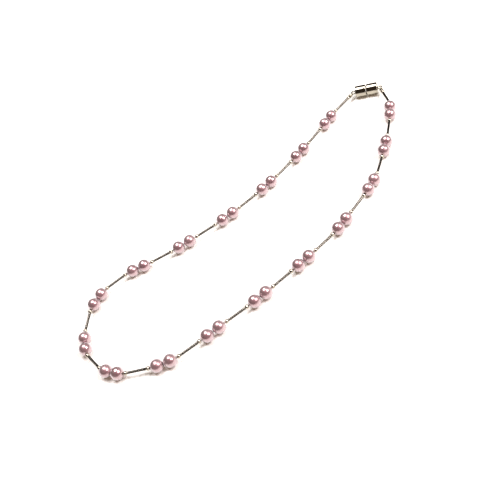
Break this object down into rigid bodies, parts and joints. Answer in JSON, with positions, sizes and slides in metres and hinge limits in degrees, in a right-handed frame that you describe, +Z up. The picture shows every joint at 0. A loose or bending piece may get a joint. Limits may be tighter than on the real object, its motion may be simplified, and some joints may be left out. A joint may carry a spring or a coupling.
{
  "type": "pearl necklace",
  "caption": "Closed neck loop of round pearls in touching pairs, set between slim tubular bars on one beading wire, with a magnetic barrel clasp at the back.",
  "frame": {"origin": "middle of the laid loop's bounding box, at table height, where the pearls and the clasp rest", "axes": "+Y from the front of the necklace to its clasp, +X across the loop, +Z up from the table"},
  "size_m": [0.0766, 0.1984, 0.006],
  "materials": {
    "pearl": "nacreous pink-mauve gloss with a pale sheen",
    "bar_silver": "fine spiral-fluted silver plate, slightly tarnished in the grooves",
    "clasp_chrome": "mirror polish",
    "magnet_nickel": "nickel-plated, semi-gloss",
    "crimp_silver": "polished silver plate",
    "beading_wire": "nylon-coated twisted steel strands"
  },
  "bodies": {
    "clasp_half_left": {"clasp_barrel_left": "clasp_chrome", "clasp_magnet_left": "magnet_nickel"},
    "spacer_bar_01": {"spacer_bar_01": "bar_silver", "crimp_left": "crimp_silver"},
    "pearl_01": {"pearl_01": "pearl"},
    "pearl_02": {"pearl_02": "pearl"},
    "spacer_bar_02": {"spacer_bar_02": "bar_silver"},
    "pearl_03": {"pearl_03": "pearl"},
    "pearl_04": {"pearl_04": "pearl"},
    "spacer_bar_03": {"spacer_bar_03": "bar_silver"},
    "pearl_05": {"pearl_05": "pearl"},
    "pearl_06": {"pearl_06": "pearl"},
    "spacer_bar_04": {"spacer_bar_04": "bar_silver"},
    "pearl_07": {"pearl_07": "pearl"},
    "pearl_08": {"pearl_08": "pearl"},
    "spacer_bar_05": {"spacer_bar_05": "bar_silver"},
    "pearl_09": {"pearl_09": "pearl"},
    "pearl_10": {"pearl_10": "pearl"},
    "spacer_bar_06": {"spacer_bar_06": "bar_silver"},
    "pearl_11": {"pearl_11": "pearl"},
    "pearl_12": {"pearl_12": "pearl"},
    "spacer_bar_07": {"spacer_bar_07": "bar_silver"},
    "pearl_13": {"pearl_13": "pearl"},
    "pearl_14": {"pearl_14": "pearl"},
    "spacer_bar_08": {"spacer_bar_08": "bar_silver"},
    "pearl_15": {"pearl_15": "pearl"},
    "pearl_16": {"pearl_16": "pearl"},
    "spacer_bar_09": {"spacer_bar_09": "bar_silver", "stringing_wire": "beading_wire"},
    "pearl_17": {"pearl_17": "pearl"},
    "pearl_18": {"pearl_18": "pearl"},
    "spacer_bar_10": {"spacer_bar_10": "bar_silver"},
    "pearl_19": {"pearl_19": "pearl"},
    "pearl_20": {"pearl_20": "pearl"},
    "spacer_bar_11": {"spacer_bar_11": "bar_silver"},
    "pearl_21": {"pearl_21": "pearl"},
    "pearl_22": {"pearl_22": "pearl"},
    "spacer_bar_12": {"spacer_bar_12": "bar_silver"},
    "pearl_23": {"pearl_23": "pearl"},
    "pearl_24": {"pearl_24": "pearl"},
    "spacer_bar_13": {"spacer_bar_13": "bar_silver"},
    "pearl_25": {"pearl_25": "pearl"},
    "pearl_26": {"pearl_26": "pearl"},
    "spacer_bar_14": {"spacer_bar_14": "bar_silver"},
    "pearl_27": {"pearl_27": "pearl"},
    "pearl_28": {"pearl_28": "pearl"},
    "spacer_bar_15": {"spacer_bar_15": "bar_silver"},
    "pearl_29": {"pearl_29": "pearl"},
    "pearl_30": {"pearl_30": "pearl"},
    "spacer_bar_16": {"spacer_bar_16": "bar_silver"},
    "pearl_31": {"pearl_31": "pearl"},
    "pearl_32": {"pearl_32": "pearl"},
    "spacer_bar_17": {"spacer_bar_17": "bar_silver"},
    "pearl_33": {"pearl_33": "pearl"},
    "pearl_34": {"pearl_34": "pearl"},
    "spacer_bar_18": {"spacer_bar_18": "bar_silver", "crimp_right": "crimp_silver"},
    "clasp_half_right": {"clasp_barrel_right": "clasp_chrome", "clasp_magnet_right": "magnet_nickel"}
  },
  "joints": [
    {"name": "clasp_eye_left_turn", "type": "hinge", "parent": "spacer_bar_01", "child": "clasp_half_left", "pos_m": [-0.02047, 0.08872, 0.003], "axis": [0, 0, 1], "range_deg": [0, 40], "deforming": ["stringing_wire"]},
    {"name": "clasp_eye_right_turn", "type": "hinge", "parent": "spacer_bar_18", "child": "clasp_half_right", "pos_m": [-0.01042, 0.09782, 0.003], "axis": [0, 0, -1], "range_deg": [0, 40]},
    {"name": "sway_bar_09_to_pearl_16", "type": "hinge", "parent": "spacer_bar_09", "child": "pearl_16", "pos_m": [-0.01297, -0.09739, 0.003], "axis": [0, 0, 1], "range_deg": [0, 12]},
    {"name": "sway_bar_09_to_pearl_17", "type": "hinge", "parent": "spacer_bar_09", "child": "pearl_17", "pos_m": [-0.00058, -0.09719, 0.003], "axis": [0, 0, -1], "range_deg": [0, 12]},
    {"name": "lift_pearl_16_to_pearl_15", "type": "hinge", "parent": "pearl_16", "child": "pearl_15", "pos_m": [-0.0186, -0.09502, 0.003], "axis": [0.5721, 0.8202, 0], "range_deg": [0, 10], "stiffness_Nm_per_rad": 0.01},
    {"name": "lift_pearl_17_to_pearl_18", "type": "hinge", "parent": "pearl_17", "child": "pearl_18", "pos_m": [0.00512, -0.09498, 0.003], "axis": [0.5453, -0.8382, 0], "range_deg": [0, 10], "stiffness_Nm_per_rad": 0.01},
    {"name": "sway_pearl_15_to_bar_08", "type": "hinge", "parent": "pearl_15", "child": "spacer_bar_08", "pos_m": [-0.02362, -0.09152, 0.003], "axis": [0, 0, 1], "range_deg": [0, 12]},
    {"name": "sway_pearl_18_to_bar_10", "type": "hinge", "parent": "pearl_18", "child": "spacer_bar_10", "pos_m": [0.01025, -0.09164, 0.003], "axis": [0, 0, -1], "range_deg": [0, 12]},
    {"name": "sway_bar_08_to_pearl_14", "type": "hinge", "parent": "spacer_bar_08", "child": "pearl_14", "pos_m": [-0.03223, -0.08261, 0.003], "axis": [0, 0, 1], "range_deg": [0, 12]},
    {"name": "sway_bar_10_to_pearl_19", "type": "hinge", "parent": "spacer_bar_10", "child": "pearl_19", "pos_m": [0.01818, -0.08213, 0.003], "axis": [0, 0, -1], "range_deg": [0, 12]},
    {"name": "lift_pearl_14_to_pearl_13", "type": "hinge", "parent": "pearl_14", "child": "pearl_13", "pos_m": [-0.03473, -0.07703, 0.003], "axis": [0.9809, 0.1943, 0], "range_deg": [0, 10], "stiffness_Nm_per_rad": 0.01},
    {"name": "lift_pearl_19_to_pearl_20", "type": "hinge", "parent": "pearl_19", "child": "pearl_20", "pos_m": [0.02156, -0.07703, 0.003], "axis": [0.9033, -0.4289, 0], "range_deg": [0, 10], "stiffness_Nm_per_rad": 0.01},
    {"name": "sway_pearl_13_to_bar_07", "type": "hinge", "parent": "pearl_13", "child": "spacer_bar_07", "pos_m": [-0.03592, -0.07103, 0.003], "axis": [0, 0, 1], "range_deg": [0, 12]},
    {"name": "sway_pearl_20_to_bar_11", "type": "hinge", "parent": "pearl_20", "child": "spacer_bar_11", "pos_m": [0.02418, -0.07151, 0.003], "axis": [0, 0, -1], "range_deg": [0, 12]},
    {"name": "sway_bar_07_to_pearl_12", "type": "hinge", "parent": "spacer_bar_07", "child": "pearl_12", "pos_m": [-0.0341, -0.05878, 0.003], "axis": [0, 0, 1], "range_deg": [0, 12]},
    {"name": "sway_bar_11_to_pearl_21", "type": "hinge", "parent": "spacer_bar_11", "child": "pearl_21", "pos_m": [0.02662, -0.05937, 0.003], "axis": [0, 0, -1], "range_deg": [0, 12]},
    {"name": "lift_pearl_12_to_pearl_11", "type": "hinge", "parent": "pearl_12", "child": "pearl_11", "pos_m": [-0.03158, -0.05321, 0.003], "axis": [0.8807, -0.4737, 0], "range_deg": [0, 10], "stiffness_Nm_per_rad": 0.01},
    {"name": "lift_pearl_21_to_pearl_22", "type": "hinge", "parent": "pearl_21", "child": "pearl_22", "pos_m": [0.02758, -0.05332, 0.003], "axis": [0.9812, -0.1928, 0], "range_deg": [0, 10], "stiffness_Nm_per_rad": 0.01},
    {"name": "sway_pearl_11_to_bar_06", "type": "hinge", "parent": "pearl_11", "child": "spacer_bar_06", "pos_m": [-0.02868, -0.04782, 0.003], "axis": [0, 0, 1], "range_deg": [0, 12]},
    {"name": "sway_pearl_22_to_bar_12", "type": "hinge", "parent": "pearl_22", "child": "spacer_bar_12", "pos_m": [0.02876, -0.04732, 0.003], "axis": [0, 0, -1], "range_deg": [0, 12]},
    {"name": "sway_bar_06_to_pearl_10", "type": "hinge", "parent": "spacer_bar_06", "child": "pearl_10", "pos_m": [-0.02432, -0.03623, 0.003], "axis": [0, 0, 1], "range_deg": [0, 12]},
    {"name": "sway_bar_12_to_pearl_23", "type": "hinge", "parent": "spacer_bar_12", "child": "pearl_23", "pos_m": [0.03113, -0.03517, 0.003], "axis": [0, 0, -1], "range_deg": [0, 12]},
    {"name": "lift_pearl_10_to_pearl_09", "type": "hinge", "parent": "pearl_10", "child": "pearl_09", "pos_m": [-0.02248, -0.0304, 0.003], "axis": [0.9598, -0.2808, 0], "range_deg": [0, 10], "stiffness_Nm_per_rad": 0.01},
    {"name": "lift_pearl_23_to_pearl_24", "type": "hinge", "parent": "pearl_23", "child": "pearl_24", "pos_m": [0.03211, -0.02913, 0.003], "axis": [0.9917, -0.1284, 0], "range_deg": [0, 10], "stiffness_Nm_per_rad": 0.01},
    {"name": "sway_pearl_09_to_bar_05", "type": "hinge", "parent": "pearl_09", "child": "spacer_bar_05", "pos_m": [-0.02076, -0.02453, 0.003], "axis": [0, 0, 1], "range_deg": [0, 12]},
    {"name": "sway_pearl_24_to_bar_13", "type": "hinge", "parent": "pearl_24", "child": "spacer_bar_13", "pos_m": [0.0329, -0.02306, 0.003], "axis": [0, 0, -1], "range_deg": [0, 12]},
    {"name": "sway_bar_05_to_pearl_08", "type": "hinge", "parent": "spacer_bar_05", "child": "pearl_08", "pos_m": [-0.01769, -0.01253, 0.003], "axis": [0, 0, 1], "range_deg": [0, 12]},
    {"name": "sway_bar_13_to_pearl_25", "type": "hinge", "parent": "spacer_bar_13", "child": "pearl_25", "pos_m": [0.03411, -0.01074, 0.003], "axis": [0, 0, -1], "range_deg": [0, 12]},
    {"name": "lift_pearl_08_to_pearl_07", "type": "hinge", "parent": "pearl_08", "child": "pearl_07", "pos_m": [-0.01648, -0.00653, 0.003], "axis": [0.9877, -0.1565, 0], "range_deg": [0, 10], "stiffness_Nm_per_rad": 0.01},
    {"name": "lift_pearl_25_to_pearl_26", "type": "hinge", "parent": "pearl_25", "child": "pearl_26", "pos_m": [0.0346, -0.00464, 0.003], "axis": [0.9967, -0.0815, 0], "range_deg": [0, 10], "stiffness_Nm_per_rad": 0.01},
    {"name": "sway_pearl_07_to_bar_04", "type": "hinge", "parent": "pearl_07", "child": "spacer_bar_04", "pos_m": [-0.01552, -0.00049, 0.003], "axis": [0, 0, 1], "range_deg": [0, 12]},
    {"name": "sway_pearl_26_to_bar_14", "type": "hinge", "parent": "pearl_26", "child": "spacer_bar_14", "pos_m": [0.0351, 0.00145, 0.003], "axis": [0, 0, -1], "range_deg": [0, 12]},
    {"name": "sway_bar_04_to_pearl_06", "type": "hinge", "parent": "spacer_bar_04", "child": "pearl_06", "pos_m": [-0.01424, 0.01183, 0.003], "axis": [0, 0, 1], "range_deg": [0, 12]},
    {"name": "sway_bar_14_to_pearl_27", "type": "hinge", "parent": "spacer_bar_14", "child": "pearl_27", "pos_m": [0.0356, 0.01383, 0.003], "axis": [0, 0, -1], "range_deg": [0, 12]},
    {"name": "lift_pearl_06_to_pearl_05", "type": "hinge", "parent": "pearl_06", "child": "pearl_05", "pos_m": [-0.01394, 0.01794, 0.003], "axis": [1, -0.0096, 0], "range_deg": [0, 10], "stiffness_Nm_per_rad": 0.01},
    {"name": "lift_pearl_27_to_pearl_28", "type": "hinge", "parent": "pearl_27", "child": "pearl_28", "pos_m": [0.03501, 0.01992, 0.003], "axis": [0.9882, 0.1529, 0], "range_deg": [0, 10], "stiffness_Nm_per_rad": 0.01},
    {"name": "sway_pearl_05_to_bar_03", "type": "hinge", "parent": "pearl_05", "child": "spacer_bar_03", "pos_m": [-0.01388, 0.02405, 0.003], "axis": [0, 0, 1], "range_deg": [0, 12]},
    {"name": "sway_pearl_28_to_bar_15", "type": "hinge", "parent": "pearl_28", "child": "spacer_bar_15", "pos_m": [0.03407, 0.02596, 0.003], "axis": [0, 0, -1], "range_deg": [0, 12]},
    {"name": "sway_bar_03_to_pearl_04", "type": "hinge", "parent": "spacer_bar_03", "child": "pearl_04", "pos_m": [-0.01442, 0.03643, 0.003], "axis": [0, 0, 1], "range_deg": [0, 12]},
    {"name": "sway_bar_15_to_pearl_29", "type": "hinge", "parent": "spacer_bar_15", "child": "pearl_29", "pos_m": [0.03212, 0.03819, 0.003], "axis": [0, 0, -1], "range_deg": [0, 12]},
    {"name": "lift_pearl_04_to_pearl_03", "type": "hinge", "parent": "pearl_04", "child": "pearl_03", "pos_m": [-0.0149, 0.04252, 0.003], "axis": [0.9943, 0.1071, 0], "range_deg": [0, 10], "stiffness_Nm_per_rad": 0.01},
    {"name": "lift_pearl_29_to_pearl_30", "type": "hinge", "parent": "pearl_29", "child": "pearl_30", "pos_m": [0.03083, 0.04417, 0.003], "axis": [0.9548, 0.2972, 0], "range_deg": [0, 10], "stiffness_Nm_per_rad": 0.01},
    {"name": "sway_pearl_03_to_bar_02", "type": "hinge", "parent": "pearl_03", "child": "spacer_bar_02", "pos_m": [-0.01556, 0.0486, 0.003], "axis": [0, 0, 1], "range_deg": [0, 12]},
    {"name": "sway_pearl_30_to_bar_16", "type": "hinge", "parent": "pearl_30", "child": "spacer_bar_16", "pos_m": [0.02901, 0.05001, 0.003], "axis": [0, 0, -1], "range_deg": [0, 12]},
    {"name": "sway_bar_02_to_pearl_02", "type": "hinge", "parent": "spacer_bar_02", "child": "pearl_02", "pos_m": [-0.01736, 0.06086, 0.003], "axis": [0, 0, 1], "range_deg": [0, 12]},
    {"name": "sway_bar_16_to_pearl_31", "type": "hinge", "parent": "spacer_bar_16", "child": "pearl_31", "pos_m": [0.02305, 0.06087, 0.003], "axis": [0, 0, -1], "range_deg": [0, 12]},
    {"name": "lift_pearl_02_to_pearl_01", "type": "hinge", "parent": "pearl_02", "child": "pearl_01", "pos_m": [-0.01841, 0.06688, 0.003], "axis": [0.9871, 0.1599, 0], "range_deg": [0, 10], "stiffness_Nm_per_rad": 0.01},
    {"name": "lift_pearl_31_to_pearl_32", "type": "hinge", "parent": "pearl_31", "child": "pearl_32", "pos_m": [0.02009, 0.06622, 0.003], "axis": [0.8604, 0.5096, 0], "range_deg": [0, 10], "stiffness_Nm_per_rad": 0.01},
    {"name": "sway_pearl_01_to_bar_01", "type": "hinge", "parent": "pearl_01", "child": "spacer_bar_01", "pos_m": [-0.01938, 0.07292, 0.003], "axis": [0, 0, 1], "range_deg": [0, 12]},
    {"name": "sway_pearl_32_to_bar_17", "type": "hinge", "parent": "pearl_32", "child": "spacer_bar_17", "pos_m": [0.01697, 0.07149, 0.003], "axis": [0, 0, -1], "range_deg": [0, 12]},
    {"name": "sway_bar_17_to_pearl_33", "type": "hinge", "parent": "spacer_bar_17", "child": "pearl_33", "pos_m": [0.00985, 0.08162, 0.003], "axis": [0, 0, -1], "range_deg": [0, 12]},
    {"name": "lift_pearl_33_to_pearl_34", "type": "hinge", "parent": "pearl_33", "child": "pearl_34", "pos_m": [0.00618, 0.08651, 0.003], "axis": [0.7219, 0.6919, 0], "range_deg": [0, 10], "stiffness_Nm_per_rad": 0.01},
    {"name": "sway_pearl_34_to_bar_18", "type": "hinge", "parent": "pearl_34", "child": "spacer_bar_18", "pos_m": [0.00195, 0.09093, 0.003], "axis": [0, 0, -1], "range_deg": [0, 12]}
  ]
}
